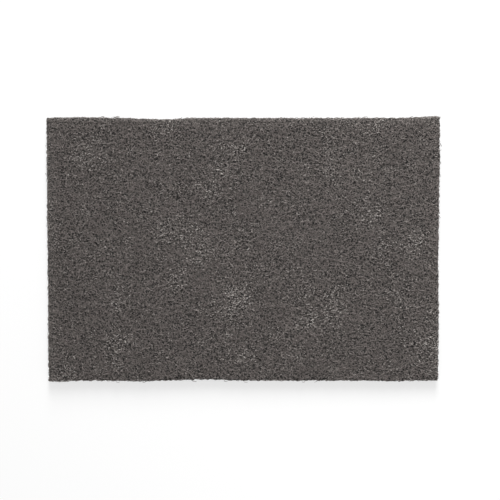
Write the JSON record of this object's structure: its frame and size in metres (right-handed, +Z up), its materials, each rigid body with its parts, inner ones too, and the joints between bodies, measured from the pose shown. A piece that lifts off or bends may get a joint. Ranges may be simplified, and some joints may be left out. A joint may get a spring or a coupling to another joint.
{
  "type": "abrasive hand pad",
  "caption": "Flat rectangular hand pad of grey non-woven abrasive web, cut square at the corners, for scouring and scuffing by hand.",
  "frame": {"origin": "centre of the underside's box, on the surface that the pad lies on", "axes": "+X along the long side, +Y across towards the long side with the hollow in its cut, +Z up through the thickness"},
  "size_m": [0.2294, 0.1554, 0.007],
  "materials": {
    "abrasive_web": "matte open web of crimped fibres bonded with resin and fine dark grit"
  },
  "bodies": {
    "root": {"abrasive_pad": "abrasive_web"}
  },
  "joints": []
}
